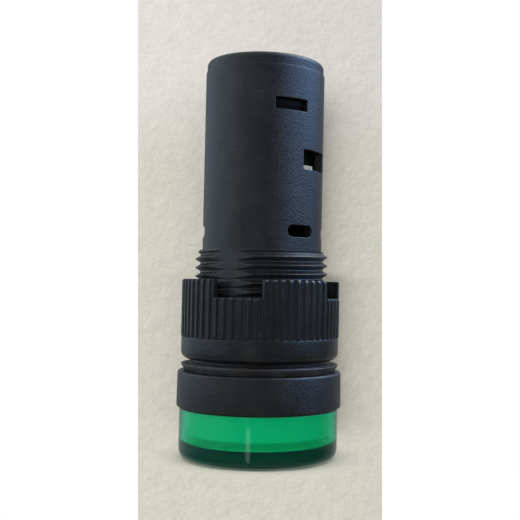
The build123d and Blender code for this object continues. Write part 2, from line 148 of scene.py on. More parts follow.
def rounded(corners, steps=6):
    """Closed outline from (radius, level, size) corners.

    Each corner P becomes the curve P + size (1-t)^2 a + size t^2 b, where a and b point from the
    corner along its two sides and t runs from 0 to 1.
    """
    corners = np.asarray(corners, float)
    p, size = corners[:, None, :2], corners[:, None, 2:]
    a, b = np.roll(p, 1, axis=0) - p, np.roll(p, -1, axis=0) - p
    a /= np.linalg.norm(a, axis=2, keepdims=True)
    b /= np.linalg.norm(b, axis=2, keepdims=True)
    t = np.linspace(0, 1, steps)[None, :, None]
    curve = p + size * (1 - t) ** 2 * a + size * t ** 2 * b
    return curve.reshape(-1, 2)


def on_circle(radius, phi, level):
    """Points at a radius, an angle phi in degrees and a level: (r sin phi, -r cos phi, z)."""
    radius, phi, level = np.broadcast_arrays(radius, phi, level)
    return np.stack([radius * np.sin(phi * DEG), -radius * np.cos(phi * DEG), level], axis=-1)


def turned(outline, columns=288):
    """Closed outline carried once round the axis: one row of points for each outline point."""
    outline = np.vstack([outline, outline[:1]])
    grid = on_circle(outline[:, :1], np.linspace(0, 360, columns + 1)[None, :], outline[:, 1:])
    return grid, quad_faces(*grid.shape[:2])


def softer_least(a, b, blend):
    """The smaller of two values, with the corner between them rounded by about `blend`."""
    return (a + b - np.sqrt((a - b) ** 2 + blend ** 2)) / 2


def softer_most(a, b, blend):
    """The larger of two values, with the corner between them rounded by about `blend`."""
    return (a + b + np.sqrt((a - b) ** 2 + blend ** 2)) / 2


def smooth_step(x):
    """0 below 0, 1 above 1 and x^2 (3 - 2x) between."""
    x = np.clip(x, 0, 1)
    return x * x * (3 - 2 * x)


def lens_cap():
    """Cup with a thick face, rounded front edge and skirt, as an outline turned about the axis."""
    return turned(rounded([
        (0, 0, 0), (9.0, 0, 0.5), (LENS_R, 0, 1.75), (LENS_R, LENS_END - GAP, 0.12),
        (SKIRT_R, LENS_END - GAP, 0.1), (SKIRT_R, SKIRT_END - GAP, 0.1),
        (LENS_BORE, SKIRT_END - GAP, 0.1), (LENS_BORE, LENS_FACE, 0.35), (0, LENS_FACE, 0),
    ], 10), 256)


def diffuser():
    """Translucent cup behind the lens face, bevelled in front, turned about the axis."""
    bore, bevel = DIFFUSER_R - DIFFUSER_WALL, 0.4
    return turned(rounded([
        (0, DIFFUSER_FACE, 0), (DIFFUSER_R - bevel, DIFFUSER_FACE, 0.1),
        (DIFFUSER_R, DIFFUSER_FACE + bevel, 0.1), (DIFFUSER_R, BOARD_FACE - GAP, 0.1),
        (bore, BOARD_FACE - GAP, 0.1), (bore, DIFFUSER_FACE + DIFFUSER_WALL, 0.3),
        (0, DIFFUSER_FACE + DIFFUSER_WALL, 0),
    ], 7), 224)


def bezel():
    """Bezel cup, gasket seat and shoulder, as one rounded outline turned about the axis."""
    rear = THREAD_START + LAP
    return turned(rounded([
        (CUP_BORE, LENS_END, 0.1), (LIP_R, LENS_END, 0.12), (LIP_R, LIP_END, 0.1),
        (BEZEL_R - 0.05, LIP_END, 0.22), (BEZEL_REAR_R, BEZEL_REAR, 0.38),
        (SEAT_R, BEZEL_REAR, 0.05), (SEAT_R, SHOULDER, 0.05), (SHOULDER_R, SHOULDER, 0.12),
        (SHOULDER_R, rear, 0.05), (BARREL_BORE, rear, 0.05), (BARREL_BORE, CUP_FLOOR, 0.1),
        (CUP_BORE, CUP_FLOOR, 0.05),
    ]), 320)


def gasket():
    """Rubber ring: collar, base and flared lip, as one rounded outline turned about the axis."""
    return turned(rounded([
        (GASKET_BORE, GASKET_FRONT, 0.05), (GASKET_FOOT_R, GASKET_FRONT, 0.1),
        (GASKET_LIP_R, GASKET_LIP - 0.16, 0.12), (GASKET_LIP_R - 0.09, GASKET_LIP, 0.08),
        (GASKET_LIP_R - 0.57, GASKET_LIP, 0.15), (GASKET_COLLAR_R + 0.45, GASKET_DISH + 0.04, 0.15),
        (GASKET_COLLAR_R, GASKET_DISH, 0.1), (GASKET_COLLAR_R, GASKET_COLLAR, 0.12),
        (GASKET_BORE, GASKET_COLLAR, 0.05),
    ]), 288)


def threaded_neck():
    """Threaded tube whose rows follow the helix.

    A row's level is the crest's level at phi 0, plus the pitch times (turns + phi / 360), plus the
    row's own distance from the crest, kept between the two ends. The radius falls from the crest
    by the distance to the nearest crest over tan 30, no lower than the root, no higher than the
    crest, than either flat (distance over the cosine of the angle from it) or than the chamfer at
    the rear end. The flats lean out towards the front.
    """
    near_flat = np.arange(-30, 30.1, 0.7)
    phi = np.concatenate([np.linspace(-180, 180, 217)] + [near_flat + f for f in FLAT_PHI])
    phi = np.unique(np.round(phi[(phi >= -180) & (phi <= 180)], 3))[None, :]
    beside = np.array([0.06, 0.15, 0.32, 0.47, 0.54, 0.62])
    beside = np.concatenate([-beside[::-1], [0], beside])
    turns = np.arange(np.ceil((THREAD_START - CREST_LEVEL) / PITCH) - 2, 4)
    lines = (turns[:, None] * PITCH + beside[None, :]).ravel()[:, None]
    level = np.clip(CREST_LEVEL + lines + PITCH * phi / 360, THREAD_START, THREAD_END)
    place = (level - CREST_LEVEL) / PITCH - phi / 360
    from_crest = np.abs(place - np.round(place)) * PITCH
    radius = CREST_R - (from_crest - 0.05) / np.tan(FLANK * DEG)
    radius = softer_most(radius, ROOT_R, 0.12)
    radius = softer_least(radius, CREST_R + 0.04, 0.14)
    flat = FLAT + FLAT_LEAN * (THREAD_END - level)
    for middle in FLAT_PHI:
        away = np.clip(np.abs((phi - middle + 180) % 360 - 180), 0, 60)
        radius = softer_least(radius, flat / np.cos(away * DEG), 0.03)
    radius = softer_least(radius, CREST_R - THREAD_CHAMFER + THREAD_END - level, 0.06)
    inner = np.full_like(phi, BARREL_BORE + 0.05)
    front, rear = np.full_like(phi, THREAD_START), np.full_like(phi, THREAD_END)
    grid = on_circle(np.vstack([inner, radius, inner, inner]), phi,
                     np.vstack([front, level, rear, front]))
    return grid, quad_faces(*grid.shape[:2])


def on_square(side, along):
    """Places on the square from -1 to 1: the side's number, from the lower one, and a share of it."""
    run = 2 * along - 1
    one = np.ones_like(run)
    return np.choose(side, [run, one, -run, -one]), np.choose(side, [-one, run, one, -run])


def round_box(side, along, half_width, half_height, corner):
    """Outline of a rounded rectangle.

    A point on the sharp rectangle is drawn to the arc of its corner: nearest point of the inner
    rectangle plus the corner radius towards the sharp point.
    """
    x, z = on_square(side, along - 0.8 * np.sin(2 * np.pi * along) / (2 * np.pi))
    x, z = x * half_width, z * half_height
    near_x = np.clip(x, corner - half_width, half_width - corner)
    near_z = np.clip(z, corner - half_height, half_height - corner)
    away = np.maximum(np.hypot(x - near_x, z - near_z), 1e-9)
    return np.stack([near_x + corner * (x - near_x) / away, near_z + corner * (z - near_z) / away])


def pierced_block(opening, step, level):
    """Rings of points that lead from a block of cells to an opening and through the wall.

    They run from the block's edge to the rounded outline, over a quarter round of OPENING_EDGE and
    inwards to the bore. Returns the rings, and the block's rows and columns in the wall's grid.
    """
    middle, height, half_width, half_height, corner = opening
    arc = BARREL_R * DEG
    reach = (half_width + 0.45) / arc
    left, right = int(np.floor((middle - reach) / step)), int(np.ceil((middle + reach) / step))
    down = int(np.searchsorted(level, height - half_height - 0.4)) - 1
    up = int(np.searchsorted(level, height + half_height + 0.4))
    counts = (right - left, up - down) * 2
    side = np.repeat(np.arange(4), counts)
    along = np.concatenate([np.arange(count) / count for count in counts])
    across, upward = on_square(side, along)
    column = (left + right + (right - left) * across) / 2
    row = np.round((down + up + (up - down) * upward) / 2).astype(int)
    block = np.stack([(column * step - middle) * arc, level[row] - height])

    def outline(grow):
        return round_box(side, along, half_width + grow, half_height + grow, corner + grow)

    rings = [(BARREL_R, block + (outline(OPENING_EDGE) - block) * share)
             for share in (0, 0.3, 0.6, 0.85)]
    rings += [(BARREL_R - OPENING_EDGE * (1 - np.cos(turn)), outline(OPENING_EDGE * (1 - np.sin(turn))))
              for turn in np.linspace(0, np.pi / 2, 5)]
    rings += [(9.3, outline(0)), (BARREL_BORE, outline(0)), (BARREL_BORE, block)]
    radius = np.array([ring[0] for ring in rings])[:, None]
    shape = np.stack([ring[1] for ring in rings])
    shape = np.concatenate([shape, shape[:, :, :1]], axis=2)
    grid = on_circle(radius, middle + shape[:, 0] / arc, height + shape[:, 1])
    return grid, slice(down, up), np.arange(left, right)


def pierced_tube():
    """Barrel wall with its openings.

    Outer and inner walls are grids over phi and level, without the cells round an opening. The rim
    at the rear end is a quarter round, and the foot is flat.
    """
    step, rows = 1.5, 86
    columns = int(360 / step)
    low, high = THREAD_END - 2 * LAP, BARREL_END
    level = np.linspace(low, high - BARREL_EDGE, rows)
    phi = np.arange(columns + 1) * step
    keep = np.ones((rows - 1, columns), bool)
    grids = []
    for opening in OPENINGS:
        grid, block_rows, block_columns = pierced_block(opening, step, level)
        grids.append(grid)
        keep[block_rows, block_columns % columns] = False
    bend = np.linspace(0, np.pi / 2, 5)
    edge = [BARREL_R - BARREL_EDGE * (1 - np.cos(bend)), high - BARREL_EDGE * (1 - np.sin(bend))]
    rim = np.vstack([np.stack(edge, axis=1), [[BARREL_BORE, high], [BARREL_BORE, high - BARREL_EDGE]]])
    foot = np.array([[BARREL_R, low], [BARREL_BORE, low]])
    cells = quad_faces(rows, columns + 1)[keep.ravel()]
    walls = [(on_circle(radius, phi[None, :], level[:, None]), cells) for radius in (BARREL_R, BARREL_BORE)]
    grids += [on_circle(line[:, :1], phi[None, :], line[:, 1:]) for line in (rim, foot)]
    return walls + [(grid, quad_faces(*grid.shape[:2])) for grid in grids]


def fluted_radius(phi):
    """Radius of the ribs and flutes.

    A flute is an arc: centre - sqrt(r^2 - x^2), with x the distance along the rim from the flute's
    middle. It goes no further out than the ribs.
    """
    x = ((phi / 360 * RIB_COUNT + 0.5) % 1 - 0.5) * 2 * np.pi * RIB_R / RIB_COUNT
    flute = FLUTE_CENTRE - np.sqrt(np.clip(FLUTE_R ** 2 - x ** 2, 0, None))
    return softer_least(flute, RIB_R, 0.05)


def notched_level(from_notch, half):
    """Rear level of the nut at an angle from the middle of a notch.

    It drops by the notch's depth through a smooth step 0.22 degrees wide at the notch's side. The
    rim rounds down to that side, and the notch's floor up to it, by e^(-distance / 0.5 degrees).
    """
    inside = smooth_step((half - from_notch) / 0.22 + 0.5)
    rim = np.exp(-np.clip(from_notch - half, 0, None) / 0.5) * (from_notch > half)
    floor_edge = np.exp(-np.clip(half - from_notch, 0, None) / 0.5) * (from_notch <= half)
    return NUT_REAR - NOTCH_DEPTH * inside - 0.16 * rim * (1 - inside) + 0.14 * floor_edge * inside


def ring_nut():
    """Fluted ring nut, as a section whose radii and levels change with phi.

    The section starts at the bore's front edge and runs round the nose, along the plain collar,
    over its ledge, up the flutes, over the bevelled rim and back along the bore. The two sides of
    a notch are parallel: at radius r they stand asin(RIB_R sin(half) / r) from its middle.
    """
    half, pitch = NOTCH_WIDTH / 2, 360 / NOTCH_COUNT
    sides = [NOTCH_PHI + s * half + pitch * i for i in range(NOTCH_COUNT) for s in (-1, 1)]
    fine = np.concatenate([side + np.linspace(-1.6, 1.6, 25) for side in sides])
    phi = np.concatenate([np.linspace(0, 360, RIB_COUNT * 14 + 1), fine % 360])
    phi = np.unique(np.round(phi, 3))[None, :]
    off = (phi - NOTCH_PHI + pitch / 2) % pitch - pitch / 2
    from_notch = np.abs(off)
    spread = np.sign(off) * np.minimum(from_notch / half, (pitch / 2 - from_notch) / (pitch / 2 - half))
    flute, rear = fluted_radius(phi), notched_level(from_notch, half)
    section = []

    def add(radius, level, parallel_at=RIB_R):
        half_here = np.arcsin(RIB_R * np.sin(half * DEG) / parallel_at) / DEG
        around = phi + spread * (half_here - half)
        section.append(np.broadcast_arrays(radius, around, level))

    add(NUT_BORE + BORE_EDGE, NUT_FRONT)
    for turn in np.linspace(0, np.pi / 2, 9):
        add(COLLAR_R - NOSE_WIDE * (1 - np.sin(turn)), NUT_FRONT + NOSE_LONG * (1 - np.cos(turn)))
    for level in (18.2, 19.2, COLLAR_END - LEDGE_LONG):
        add(COLLAR_R, level)
    for turn in np.linspace(0.25, 1, 4) * np.pi / 2:
        add(COLLAR_R - LEDGE_WIDE * (1 - np.cos(turn)), COLLAR_END - LEDGE_LONG * (1 - np.sin(turn)))
    ledge = COLLAR_R - LEDGE_WIDE
    for share, rise in ((0.5, 0.01), (0.85, 0.04), (0.97, 0.13), (1.0, FLUTE_RUN_OUT)):
        add(ledge + (flute - ledge) * share, COLLAR_END + rise)
    low, high = COLLAR_END + FLUTE_RUN_OUT, rear - 0.4
    for share in (0.12, 0.3, 0.5, 0.7, 0.88, 1.0):
        add(flute, low + (high - low) * share)
    for share in (0.0, 0.35, 0.7, 1.0):
        add(softer_least(flute, RIB_R - RIM_BEVEL * share, 0.03), rear - RIM_BEVEL * (1 - share))
    rim = RIB_R - RIM_BEVEL
    for share in (0.25, 0.6, 1.0):
        inward = (rim - NUT_BORE - BORE_EDGE) * share * 0.93
        add(softer_least(flute, rim, 0.03) - inward, rear, rim - inward)
    add(NUT_BORE, rear - BORE_EDGE, NUT_BORE)
    add(NUT_BORE, NUT_FRONT + 4)
    add(NUT_BORE, NUT_FRONT + BORE_EDGE)
    section.append(section[0])
    grid = on_circle(*(np.vstack(rows) for rows in zip(*section)))
    return grid, quad_faces(*grid.shape[:2])


class Wire:
    """A socket in a node tree. Arithmetic on it adds Math nodes."""

    def __init__(self, sheet, socket):
        self.sheet, self.socket = sheet, socket

    def __add__(self, other):
        return self.sheet.maths("ADD", self, other)

    def __sub__(self, other):
        return self.sheet.maths("SUBTRACT", self, other)

    def __rsub__(self, other):
        return self.sheet.maths("SUBTRACT", other, self)

    def __mul__(self, other):
        return self.sheet.maths("MULTIPLY", self, other)

    def __pow__(self, other):
        return self.sheet.maths("POWER", self, other)

    __radd__ = __add__
    __rmul__ = __mul__

    def at_least(self, other):
        return self.sheet.maths("MAXIMUM", self, other)

    def exponential(self):
        return self.sheet.maths("EXPONENT", self)

    def rise(self, low, high):
        """0 at low, 1 at high and a smooth step between."""
        settings = {"interpolation_type": "SMOOTHSTEP"}
        return self.sheet.add("ShaderNodeMapRange", settings, {0: self, 1: low, 2: high, 3: 0.0, 4: 1.0})[0]


class Sheet:
    """A node tree under construction."""

    def __init__(self, tree):
        self.tree = tree
        tree.nodes.clear()

    def add(self, kind, settings=None, inputs=None):
        """Adds a node: its settings first, then its inputs by name or number. Returns its outputs."""
        node = self.tree.nodes.new(kind)
        for key, value in (settings or {}).items():
            setattr(node, key, value)
        for key, value in (inputs or {}).items():
            if isinstance(value, Wire):
                self.tree.links.new(value.socket, node.inputs[key])
            else:
                node.inputs[key].default_value = value
        return [Wire(self, socket) for socket in node.outputs]

    def named(self, kind):
        """A node's outputs by name."""
        return {wire.socket.name: wire for wire in self.add(kind)}

    def maths(self, operation, *values):
        return self.add("ShaderNodeMath", {"operation": operation}, dict(enumerate(values)))[0]

    def place(self):
        """Object coordinates in metres."""
        return self.named("ShaderNodeTexCoord")["Object"]

    def parts(self, vector):
        return self.add("ShaderNodeSeparateXYZ", None, {0: vector})

    def stretched(self, vector, scale):
        return self.add("ShaderNodeMapping", None, {"Vector": vector, "Scale": scale})[0]

    def moved(self, vector, step):
        return self.add("ShaderNodeVectorMath", {"operation": "ADD"}, {0: vector, 1: step})[0]

    def noise(self, vector, per_metre, detail=3.0, roughness=0.55):
        inputs = {"Vector": vector, "Scale": per_metre, "Detail": detail, "Roughness": roughness}
        return self.add("ShaderNodeTexNoise", None, inputs)[0]

    def cells(self, vector, per_metre):
        """Distance to the nearest of scattered points."""
        return self.add("ShaderNodeTexVoronoi", None, {"Vector": vector, "Scale": per_metre})[0]

    def blend(self, share, first, second, mode="MIX"):
        """Mixes two colours. Colours are three numbers or wires."""
        first = first if isinstance(first, Wire) else (*first, 1.0)
        second = second if isinstance(second, Wire) else (*second, 1.0)
        settings = {"data_type": "RGBA", "blend_type": mode}
        return self.add("ShaderNodeMix", settings, {0: share, 6: first, 7: second})[2]

    def scaled(self, colour, level):
        """A colour times a level, which may be larger than 1."""
        grey = self.add("ShaderNodeCombineColor", None, {0: level, 1: level, 2: level})[0]
        return self.blend(1.0, colour, grey, "MULTIPLY")

    def bump(self, height, depth, strength=1.0, under=None):
        inputs = {"Height": height, "Distance": depth, "Strength": strength}
        if under is not None:
            inputs["Normal"] = under
        return self.add("ShaderNodeBump", None, inputs)[0]

    def principled(self, inputs):
        return self.add("ShaderNodeBsdfPrincipled", None, inputs)[0]

    def glow(self, strength):
        return self.add("ShaderNodeEmission", None, {"Color": WHITE, "Strength": strength})[0]

    def clear(self):
        return self.add("ShaderNodeBsdfTransparent")[0]

    def background(self, colour):
        return self.add("ShaderNodeBackground", None, {"Color": colour, "Strength": 1.0})[0]

    def either(self, share, first, second):
        """The first shader where the share is 0, and the second where it is 1."""
        return self.add("ShaderNodeMixShader", None, {0: share, 1: first, 2: second})[0]

    def finish(self, shader, volume=None):
        """Links a shader, and a volume if there is one, to the material's output."""
        ends = {"Surface": shader}
        if volume is not None:
            ends["Volume"] = volume
        self.add("ShaderNodeOutputMaterial", None, ends)


def new_finish(name):
    made = bpy.data.materials.new(name)
    made.use_nodes = True
    return made, Sheet(made.node_tree)


def shades(colour, *levels):
    """A colour times each of the levels, held at 1."""
    return [[min(1.0, channel * level) for channel in colour] for level in levels]


def moulded_black(name, colour, roughness, grain_depth, streaked=0.0, inner_end=None):
    """Black moulded plastic: fine spark-eroded grain, uneven gloss, faint flow lines and dust.

    Below the level inner_end it is made matt and painted nearly black: painted shade of the dark hollow
    inside the barrel.
    """
    made, s = new_finish(name)
    place = s.place()
    grain = s.noise(place, 9000.0, 2.0, 0.6)
    pebble = s.noise(place, 2900.0, 2.0, 0.6)
    cloud = s.noise(place, 260.0, 4.0, 0.6)
    flow = s.noise(s.stretched(place, (1.0, 1.0, 0.12)), 900.0, 3.0, 0.6)
    dust = s.cells(place, 1500.0).rise(0.13, 0.06) * s.noise(place, 400.0, 2.0).rise(0.52, 0.66)
    scuff = s.noise(s.stretched(place, (1.0, 1.0, 0.25)), 2600.0, 4.0, 0.7).rise(0.66, 0.8)
    scuff = scuff * s.noise(place, 180.0, 2.0).rise(0.5, 0.62)
    dark, pale, streak = shades(colour, 0.8, 1.25, 1.9)
    tone = s.blend(cloud.rise(0.3, 0.7), dark, pale)
    tone = s.blend(flow.rise(0.5, 0.75) * (0.25 + streaked), tone, streak)
    tone = s.blend(scuff * 0.25, tone, (0.09, 0.095, 0.1))
    tone = s.blend(dust * 0.35, tone, (0.22, 0.22, 0.21))
    gloss = roughness + (cloud - 0.5) * 0.16 + (pebble - 0.5) * 0.2 + scuff * 0.12 + dust * 0.2
    if inner_end is not None:
        # painted shade: below inner_end the colour is blended to nearly black, for the shaded hollow inside
        # the barrel
        painted_hollow_shade = s.parts(place)[2].rise((inner_end + 0.05) * MM, (inner_end - 0.05) * MM)
        tone = s.blend(painted_hollow_shade, tone, (0.0012, 0.0012, 0.0013))
        gloss = gloss + painted_hollow_shade * 0.5
    normal = s.bump(grain, grain_depth * MM, 0.55)
    normal = s.bump(pebble, grain_depth * 5.0 * MM, 0.9, normal)
    s.finish(s.principled({"Base Color": tone, "Roughness": gloss, "Normal": normal, "IOR": 1.46}))
    return made


def rubber():
    """Black rubber: matt, with a faint bloom and fine speckle."""
    made, s = new_finish("gasket_rubber")
    place = s.place()
    speckle = s.noise(place, 5000.0, 3.0, 0.7)
    bloom = s.noise(place, 320.0, 4.0, 0.6)
    tone = s.blend(bloom.rise(0.4, 0.75), (0.009, 0.009, 0.010), (0.02, 0.02, 0.021))
    s.finish(s.principled({"Base Color": tone, "Roughness": 0.44 + (speckle - 0.5) * 0.2,
                           "Normal": s.bump(speckle, 0.02 * MM, 0.5)}))
    return made


def tinted_lens():
    """Clear green plastic: colour taken up along the way through it, a polish with fine scratches."""
    made, s = new_finish("lens_green")
    place = s.place()
    ripple = s.noise(place, 300.0, 2.0, 0.5)
    marks = s.noise(s.stretched(place, (1.0, 1.0, 7.0)), 1500.0, 3.0, 0.7).rise(0.62, 0.8)
    tint = s.blend(ripple, (0.05, 0.985, 0.62), (0.07, 1.0, 0.66))
    taken_up = {"Color": (0.0, 0.930, 0.899, 1.0), "Density": 2400.0}
    surface = s.principled({
        "Base Color": tint, "Roughness": 0.09 + marks * 0.1, "Transmission Weight": 0.982,
        "IOR": 1.49, "Specular IOR Level": 0.12, "Normal": s.bump(ripple, 0.006 * MM, 0.4),
    })
    s.finish(surface, s.add("ShaderNodeVolumeAbsorption", None, taken_up)[0])
    return made


def opal_plastic():
    """Milky moulded diffuser, with painted shade darkening its bevelled front edge."""
    made, s = new_finish("diffuser_opal")
    place = s.place()
    mottle = s.noise(place, 600.0, 3.0, 0.5)
    # painted shade: the bevelled front edge is blended to a darker grey
    bevelled = s.parts(place)[2].rise((DIFFUSER_FACE + 0.5) * MM, (DIFFUSER_FACE + 0.3) * MM)
    tone = s.blend(mottle, (0.93, 0.96, 0.95), (0.97, 0.99, 0.98))
    tone = s.blend(bevelled, tone, (0.66, 0.68, 0.67))
    s.finish(s.principled({"Base Color": tone, "Roughness": 0.4 + mottle * 0.1,
                           "Normal": s.bump(mottle, 0.02 * MM, 0.4)}))
    return made


def cast_plastic(name, colour, roughness, mottle=0.12):
    """Plain moulded plastic or epoxy with a slight mottle and fine grain."""
    made, s = new_finish(name)
    place = s.place()
    cloud = s.noise(place, 700.0, 4.0, 0.6)
    grain = s.noise(place, 7000.0, 2.0, 0.6)
    tone = s.blend(cloud, *shades(colour, 1 - mottle, 1 + mottle))
    s.finish(s.principled({"Base Color": tone, "Roughness": roughness + (cloud - 0.5) * 0.15,
                           "Normal": s.bump(grain, 0.01 * MM, 0.5)}))
    return made


def plated_metal(name, colour, roughness):
    """Plated or tinned metal: cloudy plating, fine scratches and darker rubbed spots."""
    made, s = new_finish(name)
    place = s.place()
    cloud = s.noise(place, 900.0, 4.0, 0.65)
    lines = s.noise(s.stretched(place, (1.0, 9.0, 1.0)), 3500.0, 3.0, 0.6)
    spots = s.noise(place, 2500.0, 3.0, 0.6).rise(0.62, 0.75)
    dull, rubbed = shades(colour, 0.82, 0.45)
    tone = s.blend(spots * 0.35, s.blend(cloud, dull, colour), rubbed)
    gloss = roughness + (cloud - 0.5) * 0.2 + spots * 0.15
    s.finish(s.principled({"Base Color": tone, "Metallic": 1.0, "Roughness": gloss,
                           "Normal": s.bump(lines, 0.006 * MM, 0.4)}))
    return made


def solder_mask():
    """Green board: glossy mask over copper lines that run along and across it."""
    made, s = new_finish("board_green")
    place = s.place()
    black = (0, 0, 0, 1)
    lines = s.add("ShaderNodeTexBrick", {"offset": 0.5}, {
        "Vector": place, "Color1": black, "Color2": black, "Mortar": WHITE,
        "Scale": 350.0, "Mortar Size": 0.03, "Mortar Smooth": 0.2,
    })[1]
    mask = s.noise(place, 500.0, 3.0)
    tone = s.blend(mask, (0.0015, 0.009, 0.004), (0.002, 0.012, 0.006))
    tone = s.blend(lines * 0.7, tone, (0.005, 0.022, 0.011))
    s.finish(s.principled({"Base Color": tone, "Roughness": 0.3 + mask * 0.1,
                           "Normal": s.bump(lines, 0.03 * MM, 0.5)}))
    return made


def backdrop(s, direction):
    """Colour of the pale backdrop by direction.

    It is painted brighter at the top left, where more light falls, and a little bluer at the top.
    Its level is varied by a mottle, by a painted bump shading, which is the mottle less the same
    mottle a little lower on the right, and by a few dark specks. Beside the pilot light it has a
    painted shadow: darker by share * e^(-distance / reach), counted from each edge of its outline.
    """
    x, y, z = s.parts(direction)
    mottle = s.noise(direction, 70.0, 6.0, 0.78)
    # painted bump shading: the mottle less a copy moved right and down, so that its bumps look lit from one
    # side
    painted_bump_shading = mottle - s.noise(s.moved(direction, (0.0014, 0.0, -0.0014)), 70.0, 6.0, 0.78)
    specks = s.cells(direction, 45.0).rise(0.06, 0.03) * s.noise(direction, 17.0, 2.0).rise(0.62, 0.7)
    # painted shadow of the pilot light on the backdrop, fading with distance from each side of its outline
    wider = z.rise(0.02, 0.005) * 0.019
    shade = 0.0
    for edge, side, share, reach in ((0.0625, 1.0, 0.6, 0.023), (0.071, -1.0, 0.16, 0.024)):
        distance = (x * side - edge - wider).at_least(0.0)
        fall = (distance * (-1.0 / reach)).exponential()
        shade = shade + fall * (x * side).rise(0.02, 0.06) * share
    shade = shade * y.rise(0.8, 0.95) * z.rise(0.245, 0.175) * z.rise(-0.185, -0.13)
    # painted light: brighter and a little bluer towards the top, more so on the left, and brighter on the
    # left overall
    high = z.rise(0.12, 0.22)
    level = 1.10 + high * (0.06 + x.rise(0.05, -0.11) * 0.09) - x.rise(-0.6, 0.6) * 0.1
    level = level + (mottle - 0.5) * 0.28 + painted_bump_shading * 0.6 - specks * 0.4
    return s.scaled(s.blend(high, BACKDROP_LOW, BACKDROP_TOP_LIT), level * (1.0 - shade))


def gloss_room(s, direction):
    """Colour of the room that gloss shows, by direction.

    It is dark in front, with a pale wall behind, a bright ceiling, a blue window on the right that
    is brightest high up, bright panes above it and a grey wall on the left.
    """
    x, y, z = s.parts(direction)
    walls = 0.03 + y.rise(0.0, 1.0) * 0.32 + z.rise(0.3, 0.85) * 0.6 + (z * -1.0).rise(0.3, 0.9) * 0.25
    window = x.rise(0.35, 1.0) * y.rise(0.85, 0.1) * z.rise(0.08, 0.36)
    left = (x * -1.0).rise(0.4, 1.0) * z.rise(-0.34, 0.25)
    panes = (x * 0.53 + y * 0.25 + z * 0.82).rise(0.93, 0.985)
    room = s.scaled((0.96, 1.0, 1.0), walls)
    for share, colour in ((window, (2.3, 4.1, 7.5)), (left, (0.68, 0.92, 1.2)), (panes, (4.6, 5.0, 5.7))):
        room = s.blend(1.0, room, s.scaled(colour, share), "ADD")
    return room


def studio_world():
    """World in three parts, chosen by the kind of ray.

    The camera and clear plastic see the backdrop, until light has been scattered once. A mirrored
    ray sees the room. The rest gets an even, neutral light, a little less of it from the right.
    """
    world = bpy.data.worlds.new("studio")
    bpy.context.scene.world = world
    world.use_nodes = True
    s = Sheet(world.node_tree)
    path = s.named("ShaderNodeLightPath")
    direction = s.named("ShaderNodeTexCoord")["Generated"]
    through = path["Is Transmission Ray"] * path["Diffuse Depth"].rise(1.0, 0.0)
    mirrored = path["Is Glossy Ray"] * path["Is Reflection Ray"]
    even = s.scaled((0.97, 0.98, 1.0), 1.06 - s.parts(direction)[0] * 0.14)
    lit = s.either(mirrored, s.background(even), s.background(gloss_room(s, direction)))
    seen = s.either(path["Is Camera Ray"].at_least(through), lit, s.background(backdrop(s, direction)))
    s.add("ShaderNodeOutputWorld", None, {"Surface": seen})


def stage_mesh(name, grid, material):
    """A grid of points in millimetres as a sheet that isn't part of the object."""
    mesh = bpy.data.meshes.new(name)
    mesh.from_pydata((grid.reshape(-1, 3) * MM).tolist(), [], quad_faces(*grid.shape[:2]).tolist())
    mesh.materials.append(material)
    made = bpy.data.objects.new(name, mesh)
    bpy.context.scene.collection.objects.link(made)


def floor():
    """Round pale floor just under the lens face, which takes the light's shadow.

    The camera sees the backdrop through it beyond 12.5 to 19.5 mm from the axis, and from below.
    Gloss looks through all of it, so that the tall reflectors also show in the lens.
    """
    made, s = new_finish("floor_pale")
    place = s.place()
    x, y, _ = s.parts(place)
    mottle = s.noise(place, 220.0, 4.0, 0.6)
    matt = s.principled({"Base Color": s.blend(mottle, FLOOR_DARK, FLOOR_PALE), "Roughness": 0.8,
                         "Normal": s.bump(mottle, 0.2 * MM, 0.3)})
    path = s.named("ShaderNodeLightPath")
    beyond = ((x * x + y * y) ** 0.5).rise(12.5 * MM, 19.5 * MM)
    opened = beyond.at_least(s.named("ShaderNodeNewGeometry")["Backfacing"]) * path["Is Camera Ray"]
    s.finish(s.either(path["Is Glossy Ray"].at_least(opened), matt, s.clear()))
    rings = np.concatenate([[0.0], np.geomspace(8, 3000, 40)])[:, None]
    stage_mesh("floor", on_circle(rings, np.linspace(360, 0, 97)[None, :], -0.05), made)


def glowing(name, ray, strength):
    """White glow that one kind of ray sees. The sheet is clear to all others."""
    made, s = new_finish(name)
    s.finish(s.either(s.named("ShaderNodeLightPath")[ray], s.clear(), s.glow(strength)))
    return made


def reflector(name, phi, width, low, high, strength):
    """Tall narrow glowing strip at 300 mm from the axis, which only gloss sees."""
    across = phi + np.linspace(-width / 2, width / 2, 5)[None, :]
    grid = on_circle(300.0, across, np.linspace(low, high, 9)[:, None])
    stage_mesh(name, grid, glowing(name, "Is Glossy Ray", strength))


def white_card(name, first, last):
    """White card 10 m behind the light, seen by the camera only: the photograph's bare margin.

    It covers the picture's columns from first to last. Its points are the camera's spot plus
    10 m times (a right + h up - back), with a = (column / picture - 1/2 + shift) sensor / focal
    length, and h likewise, past the picture's top and bottom.
    """
    distance = 10.0
    across = (np.array([first, last]) / PICTURE - 0.5 + SHIFT) * SENSOR / FOCAL_LENGTH
    high = np.array([-0.31, 0.31])
    right, up, back = np.array([CAMERA_RIGHT, CAMERA_UP, CAMERA_BACK])
    grid = CAMERA_SPOT + distance * (across[None, :, None] * right + high[:, None, None] * up - back)
    stage_mesh(name, grid / MM, glowing(name, "Is Camera Ray", 1.0))


def placed(right, up, back, spot):
    """Matrix of an object that looks against back from a spot."""
    return Matrix([[right[i], up[i], back[i], spot[i]] for i in range(3)] + [[0, 0, 0, 1]])


